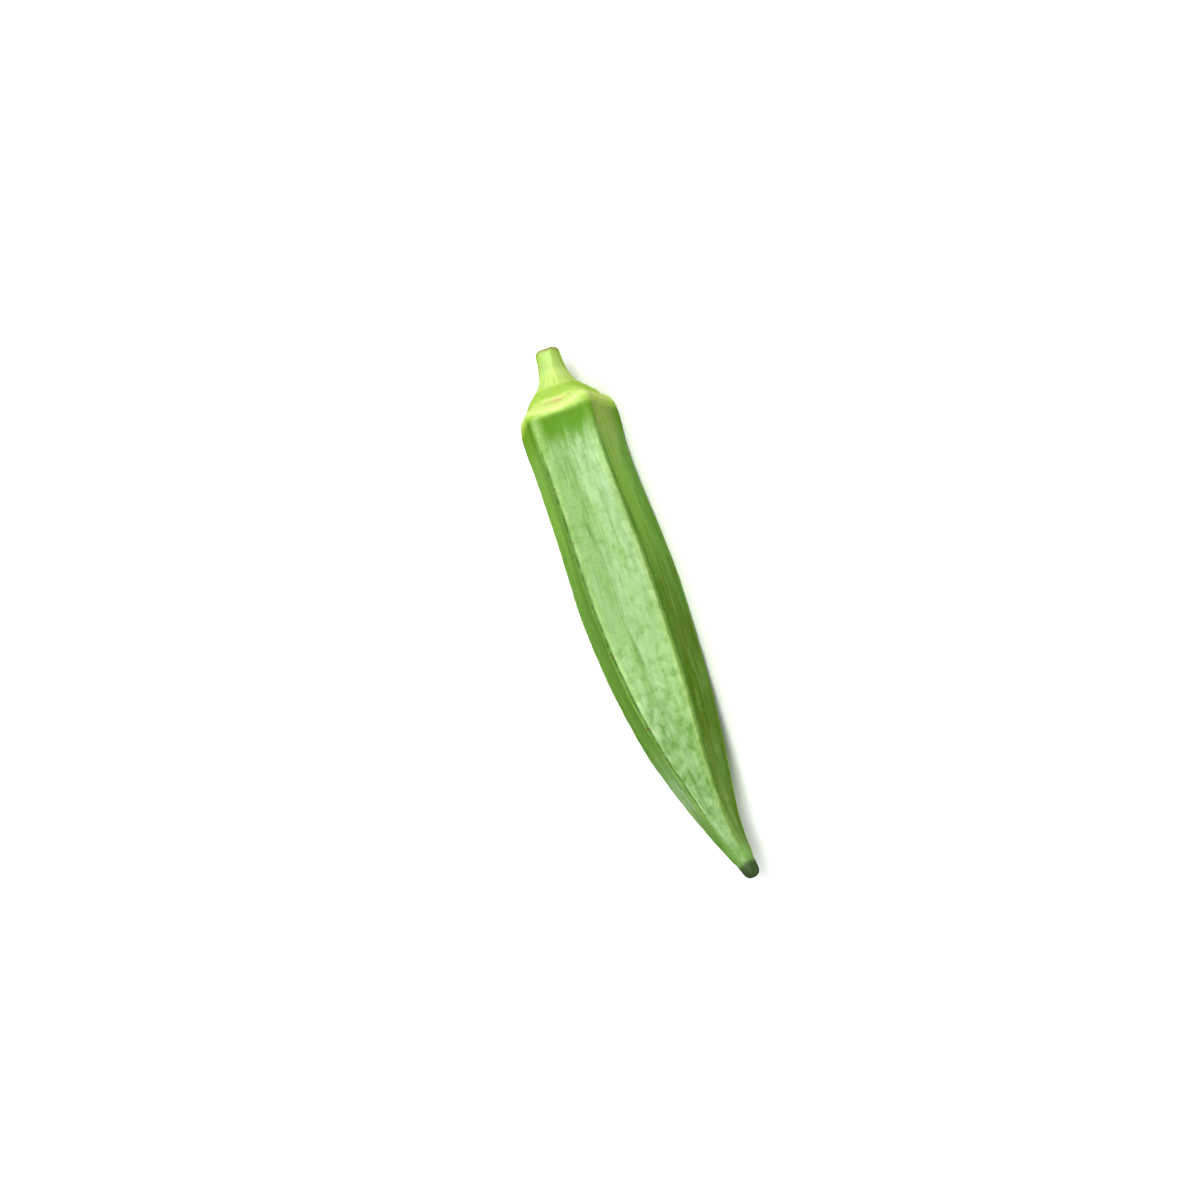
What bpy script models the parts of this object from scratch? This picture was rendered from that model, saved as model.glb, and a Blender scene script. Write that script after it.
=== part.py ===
"""Okra pod, picked, lying on one of its five faces.

Blender 4.5, metres, +Z up. The pod lies along X with its stalk towards +X and its tip towards -X.
It is one grown piece, so it is one solid: a loft of closed rings along a gently bowed centre line,
round at the stalk, five-sided from the cap to the beak, and round again at the tip.
The origin is under the middle of its box, on the surface that it lies on.
"""

import bpy
import numpy as np

MM = 0.001

# Distances along the pod, from the crest of the rim: positive towards the tip
CUT_END = -12.4 * MM
SCAR = -1.15 * MM
SHOULDER = 3.2 * MM
TIP_KNOB = 98.2 * MM
TIP_END = 100.8 * MM

RIDGES = 5
POD_COLOUR = (0.21, 0.42, 0.09, 1.0)
POD_ROUGHNESS = 0.45

# (distance from the crest, radius over the ridges, how sharp the five corners are), one row a station
# A sharpness of 3 is a round section, and one of 26 has flat faces and tight corners
STATIONS_MM = (
    (-12.4, 2.45, 3.0),
    (-8.6, 2.85, 3.0),
    (-6.6, 3.35, 3.1),
    (-4.8, 4.45, 3.4),
    (-3.3, 6.00, 4.4),
    (-2.0, 7.50, 6.0),
    (-1.1, 8.25, 9.0),
    (-0.5, 9.15, 11.0),
    (0.0, 9.60, 12.0),
    (1.2, 10.05, 14.0),
    (3.2, 10.25, 18.0),
    (9.5, 9.90, 24.0),
    (21.0, 10.05, 26.0),
    (30.0, 10.45, 26.0),
    (38.5, 10.72, 26.0),
    (48.0, 10.38, 26.0),
    (58.0, 9.65, 24.0),
    (65.0, 8.80, 22.0),
    (72.0, 7.60, 19.0),
    (79.5, 5.90, 13.0),
    (86.0, 4.30, 8.0),
    (91.0, 3.15, 5.4),
    (95.0, 2.40, 3.8),
    (98.2, 2.00, 3.1),
    (100.8, 1.95, 3.0),
)

# (distance from the crest, sideways bow towards -Y), a gentle arc with a hooked beak
BOW_MM = (
    (-12.4, 0.50),
    (-3.0, -0.20),
    (8.0, -0.95),
    (30.0, -1.35),
    (55.0, -1.85),
    (78.0, -1.15),
    (90.0, 0.00),
    (100.8, 2.05),
)
# How much of the bow lies in the level plane and how much of it is upwards
BOW_SIDEWAYS = 1.05
BOW_UPWARDS = -0.32

RIB_HEIGHT = 0.22 * MM
RIB_WIDTH = 0.75 * MM
RIB_STARTS = (-0.6 * MM, 3.0 * MM)
RIB_ENDS = (82.0 * MM, 97.0 * MM)
FACE_HOLLOW = 0.30 * MM
HOLLOW_STARTS = (3.0 * MM, 12.0 * MM)
HOLLOW_ENDS = (62.0 * MM, 88.0 * MM)
MIDLINE_GROOVE = 0.14 * MM
MIDLINE_WIDTH = 1.1 * MM
RIM_SCALLOP = 0.35 * MM
RIM_REACH = 2.2 * MM
SCAR_DEPTH = 0.22 * MM
SCAR_WIDTH = 0.3 * MM
BEAK_SPAN = (58.0 * MM, 88.0 * MM)
BEAK_TWIST = np.radians(-2.6)
BEAK_NARROWING = np.radians(16.0)

CUT_EDGE_ROUNDING = 0.2 * MM
# Half the length over which the direction of the centre line is read
HALF_CHORD = 0.05 * MM
# How the rings are spaced: (from, to, number of steps)
RING_SPANS = (
    (CUT_END + CUT_EDGE_ROUNDING, -5.0 * MM, 5),
    (-5.0 * MM, -1.5 * MM, 5),
    (-1.5 * MM, 0.6 * MM, 7),
    (0.6 * MM, SHOULDER, 3),
    (SHOULDER, 8.0 * MM, 3),
    (8.0 * MM, 64.0 * MM, 15),
    (64.0 * MM, TIP_KNOB, 13),
    (TIP_KNOB, TIP_END - 0.25 * MM, 4),
)

# Where the columns of one face stand, in degrees from its first ridge
COLUMN_DEGREES = (0.0, 2.6, 6.0, 12.0, 22.0, 36.0, 50.0, 60.0, 66.0, 69.4)

# The pod rests on small flats worn into its two lower ridges, under the belly and under the shoulder
PITCH = np.radians(0.05)
FLAT_DEPTH = 0.15 * MM


def clear_scene():
    for thing in list(bpy.data.objects):
        bpy.data.objects.remove(thing, do_unlink=True)


def smooth_through(at, stops, values):
    """A cubic through (stops, values), each slope being that of the parabola through three stops."""
    stops, values = np.asarray(stops, float), np.asarray(values, float)
    step = np.diff(stops)
    rise = np.diff(values) / step
    slope = np.empty(len(stops))
    slope[1:-1] = (rise[:-1] * step[1:] + rise[1:] * step[:-1]) / (step[1:] + step[:-1])
    slope[0], slope[-1] = rise[0], rise[-1]
    left = np.clip(np.searchsorted(stops, at, side="right") - 1, 0, len(step) - 1)
    wide = step[left]
    t = np.clip((at - stops[left]) / wide, 0.0, 1.0)
    return (
        values[left] * (1 + 2 * t) * (1 - t) ** 2
        + wide * slope[left] * t * (1 - t) ** 2
        + values[left + 1] * t**2 * (3 - 2 * t)
        + wide * slope[left + 1] * t**2 * (t - 1)
    )


def ridge_radius_and_sharpness(along):
    stops, radii, sharpness = np.array(STATIONS_MM).T
    return smooth_through(along, stops * MM, radii * MM), smooth_through(along, stops * MM, sharpness)


def smooth_step(at, start, end):
    t = np.clip((at - start) / (end - start), 0.0, 1.0)
    return t * t * (3 - 2 * t)


def hump(at, middle, width):
    return np.exp(-(((at - middle) / width) ** 2))


def corner_angle(turn):
    """Angle from the nearest ridge, within half a face to either side."""
    face = 2 * np.pi / RIDGES
    return (turn + face / 2) % face - face / 2


def facing(turn, power):
    """Sum over the five faces of how far each is faced, to that power."""
    normals = (np.arange(RIDGES) + 0.5) * 2 * np.pi / RIDGES
    return sum(np.maximum(np.cos(turn - normal), 0.0) ** power for normal in normals)


def section_radius(along, turn):
    """Distance from the centre line to the skin, at a distance along the pod and an angle round it.

    The five flat faces are joined by a power mean, which rounds the corners less as the power grows.
    To that come a rib on each ridge, a shallow hollow and a fine groove down the middle of each face,
    and the ring of the scar where the sepals fell off, just above the rim.
    """
    ridge_radius, power = ridge_radius_and_sharpness(along)
    shape = (facing(turn, power) / facing(0.0, power)) ** (-1 / power)
    off_ridge = corner_angle(turn)
    ridged = smooth_step(along, *RIB_STARTS) * (1 - smooth_step(along, *RIB_ENDS))
    rib = RIB_HEIGHT * ridged * hump(off_ridge * ridge_radius, 0.0, RIB_WIDTH)
    off_middle = corner_angle(turn + np.pi / RIDGES)
    faced = smooth_step(along, *HOLLOW_STARTS) * (1 - smooth_step(along, *HOLLOW_ENDS))
    hollow = FACE_HOLLOW * faced * (1 + np.cos(RIDGES * off_middle)) / 2
    groove = MIDLINE_GROOVE * faced * hump(off_middle * ridge_radius, 0.0, MIDLINE_WIDTH)
    scar = SCAR_DEPTH * hump(along, SCAR, SCAR_WIDTH)
    return ridge_radius * shape + rib - hollow - groove - scar


def end_rounding(along):
    """1 along the pod, falling as a quarter of an ellipse to 0 at the end of the tip."""
    t = np.clip((along - TIP_KNOB) / (TIP_END - TIP_KNOB), 0.0, 1.0)
    return np.sqrt(1 - t * t)


def centre_line(along):
    stops, bows = np.array(BOW_MM).T * MM
    bow = smooth_through(along, stops, bows)
    return np.stack([-along, -BOW_SIDEWAYS * bow, BOW_UPWARDS * bow], axis=-1)


def skin_points(along, turn):
    """Points of the skin for arrays of distance along the pod and angle round it.

    The angle is 0 on the top ridge and grows towards -Y. A ring stands square to the centre line,
    and its crest waves towards the tip in the middle of each face near the rim. Towards the beak the
    face between the first two ridges narrows: both turn towards its middle.
    """
    wave = RIM_SCALLOP * (1 + np.cos(RIDGES * corner_angle(turn + np.pi / RIDGES))) / 2
    shifted = along + wave * hump(along, 0.0, RIM_REACH)
    beaked = smooth_step(along, *BEAK_SPAN)
    off_front = turn - np.pi / RIDGES
    squeeze = np.sin(off_front) * (1 + np.cos(off_front)) / 2
    turned = turn + beaked * (BEAK_TWIST - BEAK_NARROWING * squeeze)
    radius = section_radius(along, turn) * end_rounding(along)
    centre = centre_line(shifted)
    tangent = centre_line(shifted + HALF_CHORD) - centre_line(shifted - HALF_CHORD)
    tangent /= np.linalg.norm(tangent, axis=-1, keepdims=True)
    up = np.array([0.0, 0.0, 1.0]) - tangent * tangent[..., 2:3]
    up /= np.linalg.norm(up, axis=-1, keepdims=True)
    side = np.cross(up, tangent)
    return centre + radius[..., None] * (np.cos(turned)[..., None] * up + np.sin(turned)[..., None] * side)


def ring_distances():
    spans = [np.linspace(start, end, steps, endpoint=False) for start, end, steps in RING_SPANS]
    return np.concatenate(spans + [[RING_SPANS[-1][1]]])


def column_angles():
    one_face = np.radians(COLUMN_DEGREES)
    return np.concatenate([one_face + face * 2 * np.pi / RIDGES for face in range(RIDGES)])


def pod_surface():
    """(points, faces) of the closed pod: a cut face, the rings in order, and a pole at the tip."""
    columns = column_angles()
    rings = ring_distances()
    along, turn = np.meshgrid(rings, columns, indexing="ij")
    body = skin_points(along, turn)
    cut_middle = centre_line(np.array(CUT_END))
    edge = skin_points(np.full(len(columns), CUT_END), columns)
    stalk_radius = ridge_radius_and_sharpness(CUT_END)[0]
    edge = cut_middle + (edge - cut_middle) * (1 - CUT_EDGE_ROUNDING / stalk_radius)
    pole = centre_line(np.array(TIP_END))
    points = np.concatenate([[cut_middle], edge, body.reshape(-1, 3), [pole]])
    count = len(columns)
    last = len(points) - 1
    faces = []
    for column in range(count):
        beside = (column + 1) % count
        faces.append((0, 1 + column, 1 + beside))
        faces.append((last, last - count + beside, last - count + column))
        for ring in range(len(rings)):
            here = 1 + ring * count
            faces.append((here + column, here + count + column, here + count + beside, here + beside))
    return points, faces


def lay_down(points):
    """Pitches the pod to its resting slope, sets it on the surface and centres its box over the origin."""
    cosine, sine = np.cos(PITCH), np.sin(PITCH)
    turned = points @ np.array([[cosine, 0, -sine], [0, 1, 0], [sine, 0, cosine]])
    turned[:, 2] = np.maximum(turned[:, 2] - turned[:, 2].min() - FLAT_DEPTH, 0.0)
    middle = (turned.min(axis=0) + turned.max(axis=0)) / 2
    return turned - [middle[0], middle[1], 0.0]


def pod_material():
    material = bpy.data.materials.new("okra_skin")
    material.use_nodes = True
    shader = material.node_tree.nodes["Principled BSDF"]
    shader.inputs["Base Color"].default_value = POD_COLOUR
    shader.inputs["Roughness"].default_value = POD_ROUGHNESS
    shader.inputs["Metallic"].default_value = 0.0
    return material


def build_pod():
    points, faces = pod_surface()
    mesh = bpy.data.meshes.new("okra_pod")
    mesh.from_pydata(lay_down(points).tolist(), [], faces)
    mesh.shade_smooth()
    mesh.materials.append(pod_material())
    collection = bpy.data.collections.new("okra_pod")
    bpy.context.scene.collection.children.link(collection)
    pod = bpy.data.objects.new("okra_pod", mesh)
    collection.objects.link(pod)
    return pod


clear_scene()
build_pod()
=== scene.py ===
"""The finished looks of one picked okra pod, which lies on one of its five faces.

The skin is one closed surface: a function of the distance along the pod and the angle round it. It
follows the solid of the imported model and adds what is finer: the bead of the rim, dents, lengthwise
lines, creases, swellings, blisters, wrinkles, the flats of the stalk and the cut end. Its colours
follow the same two values, and short down stands on it, most of it on the ridges. The stage is a pale
floor, soft lights and the camera.
"""

import bpy
import numpy as np
from mathutils import Matrix, Vector


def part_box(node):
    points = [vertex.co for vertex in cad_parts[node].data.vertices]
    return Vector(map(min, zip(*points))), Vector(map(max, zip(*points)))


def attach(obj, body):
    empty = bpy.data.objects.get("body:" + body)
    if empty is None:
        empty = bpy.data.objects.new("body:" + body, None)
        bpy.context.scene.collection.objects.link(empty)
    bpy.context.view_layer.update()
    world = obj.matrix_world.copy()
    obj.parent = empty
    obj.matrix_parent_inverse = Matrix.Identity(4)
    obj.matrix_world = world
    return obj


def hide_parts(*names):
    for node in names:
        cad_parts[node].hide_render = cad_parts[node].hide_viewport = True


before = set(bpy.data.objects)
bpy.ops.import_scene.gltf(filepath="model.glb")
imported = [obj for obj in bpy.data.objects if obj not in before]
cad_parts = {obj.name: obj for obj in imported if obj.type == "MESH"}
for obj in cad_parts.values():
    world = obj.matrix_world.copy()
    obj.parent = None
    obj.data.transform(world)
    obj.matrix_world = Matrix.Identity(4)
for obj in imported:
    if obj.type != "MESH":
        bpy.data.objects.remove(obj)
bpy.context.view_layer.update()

NODE = "okra_pod"
BODY = "root"
MM = 0.001

bl_info = {
    "name": "Okra pod",
    "version": (1, 0, 0),
    "blender": (4, 5, 0),
    "location": "3D View > Sidebar > Okra",
    "description": "Skin, down and stage of one picked okra pod",
    "category": "Object",
}


def mm(*values):
    return tuple(value * MM for value in values)


def degrees(*values):
    return tuple(np.radians(value) for value in values)


# Distances along the pod, from the crest of the rim: positive towards the tip
CUT_END = -12.4 * MM
SCAR = -1.15 * MM
TIP_KNOB = 98.2 * MM
TIP_END = 100.8 * MM
LENGTH = TIP_END - CUT_END
RIDGES = 5
FACE_TURN = 2 * np.pi / RIDGES

# Angles run round the pod from the top ridge, number 0, over the front face, also number 0. A span of
# four values is where something starts, is full, starts to fade and has ended

# The main form, as in the solid: (distance from the crest, radius over the ridges, sharpness of the
# five corners), one row a station. A sharpness of 3 is round, and one of 26 has flat faces
STATIONS_MM = (
    (-12.4, 2.45, 3.0),
    (-8.6, 2.85, 3.0),
    (-6.6, 3.35, 3.1),
    (-4.8, 4.45, 3.4),
    (-3.3, 6.00, 4.4),
    (-2.0, 7.50, 6.0),
    (-1.1, 8.25, 9.0),
    (-0.5, 9.15, 11.0),
    (0.0, 9.60, 12.0),
    (1.2, 10.05, 14.0),
    (3.2, 10.25, 18.0),
    (9.5, 9.90, 24.0),
    (21.0, 10.05, 26.0),
    (30.0, 10.45, 26.0),
    (38.5, 10.72, 26.0),
    (48.0, 10.38, 26.0),
    (58.0, 9.65, 24.0),
    (65.0, 8.80, 22.0),
    (72.0, 7.60, 19.0),
    (79.5, 5.90, 13.0),
    (86.0, 4.30, 8.0),
    (91.0, 3.15, 5.4),
    (95.0, 2.40, 3.8),
    (98.2, 2.00, 3.1),
    (100.8, 1.95, 3.0),
)
BOW_MM = (
    (-12.4, 0.50),
    (-3.0, -0.20),
    (8.0, -0.95),
    (30.0, -1.35),
    (55.0, -1.85),
    (78.0, -1.15),
    (90.0, 0.00),
    (100.8, 2.05),
)
BOW_SIDEWAYS = 1.05
BOW_UPWARDS = -0.32
RIB_HEIGHT = 0.22 * MM
RIB_WIDTH = 0.75 * MM
RIBBED = mm(-0.6, 3.0, 82.0, 97.0)
FACE_HOLLOW = 0.30 * MM
FACED = mm(3.0, 12.0, 62.0, 88.0)
MIDLINE_GROOVE = 0.14 * MM
MIDLINE_WIDTH = 1.1 * MM
RIM_SCALLOP = 0.35 * MM
RIM_REACH = 2.2 * MM
SCAR_DEPTH = 0.22 * MM
SCAR_WIDTH = 0.3 * MM
BEAK_SPAN = mm(58.0, 88.0)
BEAK_TWIST = np.radians(-2.6)
BEAK_NARROWING = np.radians(16.0)
CUT_EDGE_ROUNDING = 0.2 * MM
HALF_CHORD = 0.05 * MM
PITCH = np.radians(0.05)
FLAT_DEPTH = 0.15 * MM

# The fine grid: (from, to, number of rings), and the columns of one face
RING_SPANS = (
    (CUT_END + CUT_EDGE_ROUNDING, -2.4 * MM, 38),
    (-2.4 * MM, 1.4 * MM, 40),
    (1.4 * MM, 8.0 * MM, 24),
    (8.0 * MM, 94.0 * MM, 270),
    (94.0 * MM, TIP_END - 0.04 * MM, 34),
)
COLUMNS_A_FACE = 46
COLUMN_CROWDING = 0.55
CUT_FACE_RINGS = 14

# The fine relief. A noise in space has a cell and a seed, and one on the skin has its cells along the
# pod and round it, and a seed
BEAD = -0.1 * MM
BEAD_HEIGHT = 0.17 * MM
BEAD_WIDTH = 0.62 * MM
BEAD_UNEVENNESS = 0.12
BEAD_CELLS = (30, 14, 3)
FINE_STARTS = mm(0.5, 6.0)
FINE_ENDS = (92 * MM, TIP_KNOB)
LINE_CELLS = ((12, 85, 5), (26, 110, 7))
SWELLING_CELLS = ((3.6 * MM, 11), (2.1 * MM, 13))
BLISTER_CELLS = ((1.5 * MM, 17), (0.9 * MM, 19))
COARSE_SHARE = 0.6
SPACE_LATTICE = (128, 32, 32)
BLISTERED = mm(50, 70, 86, 96)
BLISTERED_ELSEWHERE = 0.25
WART_HEIGHT = 0.05 * MM
WART_WIDTH = 0.9 * MM
WART_CELLS = (110, 90, 23)
# Where the crease of each face runs, as a share of the face off its middle, and how deep each is
CREASE_PLACES = (-0.14, 0.06, -0.05, 0.10, -0.09)
CREASE_DEPTHS = (1.0, 0.45, 0.6, 0.8, 0.7)
CREASE_WIDTH = 0.42 * MM
CREASED = mm(6, 16, 78, 92)
CREASE_WANDER = 0.05
CREASE_WANDER_CELLS = (9, RIDGES, 31)
CREASE_BREAK_CELLS = (22, RIDGES, 37)
CREASE_COMES = (-0.35, 0.45)
WRINKLE_CELLS = (1.25 * MM, 43)
WRINKLE_WIDTH = 0.38
WRINKLE_PATCH_CELLS, WRINKLE_PATCHES = (4.5 * MM, 48), (-0.15, 0.2)
WRINKLE_BREAK_CELLS, WRINKLE_BREAKS = (0.8 * MM, 53), (-0.3, 0.05)
WRINKLE_STRENGTHS = (1.0, 0.6, 0.6, 0.6, 0.5)
WRINKLED = mm(50, 66, 84, 93)
WRINKLE_SIDES = (0.42 * FACE_TURN, 0.5 * FACE_TURN)
# The rim dips further towards the tip on the front face, and rises again before its second ridge
RIM_DIP = 0.95 * MM
RIM_DIPPED = degrees(-30, 2, 40, 70)
# Below the rim each face is a little dented, so that it leans towards the stalk there
DENT_DEPTH = 0.42 * MM
DENTED = mm(0.9, 3.4, 4.2, 9.5)
DENT_SIDES = (0.24 * FACE_TURN, 0.50 * FACE_TURN)
# How much of the groove down each face, and of the ring of the scar, is left out again
GROOVE_FILLING = 0.65
SCAR_FILLING = 0.5
# The ribs on the ridges get lower towards the beak
RIB_SOFTENING = 0.14 * MM
RIB_SOFTENED = mm(40, 62)
STALK_ENDS = mm(-5.0, -1.5)
STALK_FACET_DEPTH = 0.24 * MM
STALK_LINE_HEIGHT = 0.02 * MM
STALK_LINE_CELLS = (16, 34, 29)
KNOB_WAIST = 97.3 * MM
KNOB_WAIST_DEPTH = 0.11 * MM
KNOB_WAIST_WIDTH = 0.7 * MM
KNOB_THINNING = 0.30 * MM
KNOB_THINNED = mm(95, 99.5)
BLUNTNESS = 2.8
LEAST_ROUNDING = 0.01
CUT_DISH = 0.18 * MM
CUT_ROUGHNESS = 0.05 * MM
CUT_CELLS = (9, 24, 41)

# The pale line along each ridge, the dark one beside it and the thin glint. The three rows say for the
# five ridges how strong it is, how far off the ridge in millimetres (towards the next ridge is
# positive), and how wide
RIDGE_LINES = (
    (0.6, 0.32, 0.8, 0.9, 0.7),
    (-0.55, -0.50, -0.15, -0.40, 0.20),
    (0.24, 0.55, 0.30, 0.50, 0.35),
)
RIDGE_SHADES = (
    (1.0, 0.6, 0.7, 0.6, 0.8),
    (0.16, 0.55, 0.45, 0.40, -0.45),
    (0.27, 0.45, 0.35, 0.50, 0.30),
)
RIDGE_GLINTS = (
    (0.38, 0.12, 0.2, 0.25, 0.2),
    (0.75, -0.95, 0.60, -0.80, 0.70),
    (0.38, 0.35, 0.30, 0.35, 0.30),
)
RIDGE_LINE_STARTS, RIDGE_SHADE_STARTS, RIDGE_GLINT_ENDS = mm(3, 14), mm(3, 16), mm(60, 80)
TOP_SHADE_FADING, TOP_SHADE_ENDS = 0.8, mm(78, 90)
# How many brown spots each ridge has, and how far the skin before it is tinged olive
RIDGE_SPOTS = (1.0, 0.3, 0.8, 0.7, 0.9)
RIDGE_SPOT_WIDTH = 0.7 * MM
RIDGE_OLIVES = (0.0, 0.75, 0.2, 0.3, 0.2)
RIDGE_OLIVE_PLACE, RIDGE_OLIVE_WIDTH, RIDGE_OLIVE_STARTS = -0.3 * MM, 0.7 * MM, mm(10, 25)
# Where the colours of the faces show, and where they end before the ridges
ON_FACES = mm(0.5, 4, 92, 97)
FACE_SIDES = (0.4 * FACE_TURN, 0.5 * FACE_TURN)
# How strong the greyish stripe down each face is, a painted reflection: stronger and wider near the rim
REFLECTION_STRIPES = (0.0, 0.9, 0.5, 0.4, 0.15)
STRIPE_PLACE, STRIPE_WIDTH, STRIPE_WIDENING = -1.6 * MM, 1.2, 1.8
STRIPE_LOW_STRENGTH, STRIPE_TOP_ENDS = 0.4, mm(11, 20)
# The right part of the rim, on the shaded side, takes the stripe's greyish colour as painted shade, and the
# skin just below it as painted light
RIM_SHADE_AND_LIGHT = 0.85
RIM_SHADE_TURN, RIM_SHADE_ALONG = degrees(68, 80, 120, 144), mm(-1.1, 0.2, 6.0, 14.0)
# How far each face is tinged olive, deeper away from the rim as painted shade; so is the stalk's right side,
# as painted shade
OLIVE_TINGES = (0.0, 1.0, 0.35, 0.5, 0.4)
OLIVE_LEAST, SHADE_DEEPENS = 0.2, mm(16, 55)
STALK_SIDE_SHADE = 0.3
STALK_SIDE_TURN, STALK_SIDE_ENDS = degrees(48, 68, 150, 175), mm(-5.0, -2.5)
# How pale each face is near the rim, painted light that is strongest on the right face, and how pale the
# front face is beside the top ridge
PAINTED_LIGHT_TOPS = (0.0, 0.75, 0.5, 0.3, 0.5)
PALE_TOP_TURN, PALE_TOP_ENDS = degrees(-10, 26), mm(20, 46)
PALE_CORNER = 0.45
PALE_CORNER_TURN, PALE_CORNER_ALONG = degrees(5, 6), mm(0.5, 2, 6, 14)
CORNER_WAX = 0.8
# How strong the pale greyish tinge is on each face towards the tip: partly a bloom of wax, which makes it
# dull there, and partly painted sheen
BEAK_BLOOMS_AND_SHEEN = (0.1, 0.0, 0.4, 0.5, 0.9)
BLOOM_AND_SHEEN_STARTS, BLOOM_AND_SHEEN_ENDS = mm(68, 84), mm(80, 92)
# Where the front face is duller: on its left half, and towards the beak on its right half
DULLNESS = 0.27
DULL_TURN, DULL_ALONG = degrees(-8, 6, 16, 44), mm(2, 8, 50, 64)
BEAK_DULL_TURN, BEAK_DULL_STARTS = degrees(16, 34), mm(60, 70)
# On the right part of the front face the wax is thicker near the rim and thinner further down:
# (how much thicker, middle, width)
GLOSSY_TURN = degrees(34, 48, 62, 72)
GLOSSY_PLACES = ((0.18, 22 * MM, 13 * MM), (-0.22, 54 * MM, 15 * MM))
# The scar is plainest on part of the front face
SCARRED_LEAST, SCARRED_MORE = 0.1, 0.65
SCARRED_TURN = degrees(34, 15)
SCARRED_REACH = 0.42 * MM
STRAIGHT_RADIUS = 10

# The colours along the pod: (millimetres from the crest of the rim, name of the colour)
COLOURS_ALONG = (
    (-12.4, "cut_edge"),
    (-12.2, "cut_edge"),
    # The stalk's top takes the darker colour of the cap, painted shade, and its foot a paler colour, painted
    # light
    (-11.7, "cap"),
    (-8.6, "stalk"),
    (-7.0, "lit_stalk_foot"),
    (-4.3, "lit_stalk_foot"),
    (-3.3, "cap"),
    (-1.5, "cap"),
    (-1.0, "rim"),
    (0.2, "rim"),
    (1.2, "cap"),
    (3.1, "band"),
    (5.4, "band"),
    (9.8, "body"),
    (58.0, "body"),
    (70.0, "beak"),
    (94.0, "beak"),
    (97.2, "body"),
    (97.6, "beak"),
    (98.8, "knob"),
    (100.8, "knob"),
)
# The colours of the cut end, from its middle, 0, to its edge, 1
COLOURS_OF_CUT = (
    (0.0, "pith"),
    (0.42, "pith"),
    (0.55, "stalk"),
    (0.66, "vein_and_crease_shade"),
    (0.78, "stalk"),
    (0.9, "stalk"),
    (0.98, "cut_edge"),
)
# Noises of the skin, stretched along the pod: (squeeze along, scale, detail, roughness)
NOISES_ALONG = {
    "ragged": (0.6, 0.5, 2.0, 0.5),
    "drift": (0.16, 0.28, 3.0, 0.5),
    "tinge": (0.2, 0.55, 3.0, 0.5),
    "lines": (0.085, 1.5, 3.0, 0.6),
    "stalk lines": (0.12, 0.6, 3.0, 0.5),
    "stripe breaks": (0.1, 1.1, 3.0, 0.5),
    "glint breaks": (0.25, 1.0, 2.0, 0.5),
    "crest breaks": (0.3, 0.8, 2.0, 0.5),
    "shade breaks": (0.35, 1.1, 3.0, 0.5),
    "spot patches": (0.5, 0.4, 2.0, 0.5),
    "streaks": (0.1, 0.8, 3.0, 0.6),
    "roughness": (0.3, 0.9, 3.0, 0.5),
    "fine": (0.2, 2.4, 3.0, 0.6),
}
# Noises that are as long as wide: (scale, detail, roughness)
BLOTCHES, PORES, GRAIN = (480.0, 2.0, 0.5), (1300.0, 2.0, 0.5), (1500.0, 3.0, 0.6)
SPOT_SCALE, SPECK_SCALE = 1300.0, 1500.0
# How a noise, an attribute or a distance along in millimetres becomes a mask: (from, to, mask at from,
# mask at to)
MASKS = {
    "ragged edge": (0.3, 0.7, -0.14, 0.14),
    "scar": (0.32, 0.6, 0.3, 1.0),
    "body starts": (3.0, 10.0, 0.0, 1.0),
    "body ends": (96.5, 98.2, 1.0, 0.0),
    "drifts": (0.35, 0.68, 0.0, 0.5),
    "olive_and_shade": (0.3, 0.6, 0.35, 1.0),
    "lines": (0.52, 0.70, 0.0, 0.5),
    "lines fade": (40.0, 60.0, 1.0, 0.35),
    "blotches grow": (40.0, 70.0, 0.8, 1.0),
    "blotches": (0.45, 0.75, 0.0, 0.4),
    "pores": (0.4, 0.7, 0.0, 0.22),
    "stalk lines": (0.42, 0.62, 0.0, 0.3),
    "stalk ends": (-5.0, -3.0, 1.0, 0.0),
    "pale tops": (0.35, 0.65, 1.0, 0.6),
    "bloom_and_sheen": (0.35, 0.65, 1.0, 0.55),
    "crease": (0.15, 1.0, 0.0, 0.75),
    "wrinkle": (0.05, 0.9, 0.0, 0.5),
    "stripe": (0.38, 0.6, 0.0, 1.0),
    "rim_shade_and_light": (0.3, 0.6, 0.5, 1.0),
    "glint": (0.35, 0.65, 0.3, 1.0),
    "crest": (0.25, 0.5, 0.45, 1.0),
    "shade": (0.36, 0.6, 0.35, 1.0),
    "spots": (0.15, 0.38, 1.0, 0.0),
    "spot patches": (0.43, 0.56, 0.0, 1.0),
    "specks": (0.08, 0.22, 1.0, 0.0),
    "waxed edge": (0.35, 0.65, -2.2, 2.2),
    "wax starts": (5.2, 10.6, 0.12, 1.0),
    "wax at rim": (0.5, 3.0, 0.9, 0.12),
    "wax ends": (97.2, 98.4, 1.0, 0.35),
    "worn blotches": (0.36, 0.66, 1.0, 0.55),
    "worn beside ridges": (0.08, 0.5, 1.0, 0.25),
    "worn streaks": (0.45, 0.64, 0.0, 1.0),
    "streaks fade": (22.0, 60.0, 0.42, 0.2),
    "roughness": (0.3, 0.7, 0.33, 0.43),
    "gloss": (0.12, 0.62, 1.0, 0.0),
}
STRIPE_SHARE, SHADE_SHARE, SPOT_SHARE, SPECK_SHARE = 0.6, 0.85, 0.85, 0.2
SKIN_IOR, FACING_BLEND = 1.5, 0.5
SKIN_BUMP, CUT_BUMP = (0.5, 0.05 * MM), (0.6, 0.04 * MM)
CUT_EDGE_NOISE, CUT_EDGE_RANGE = (1400.0, 3.0), (0.3, 0.7, -0.07, 0.07)
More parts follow.
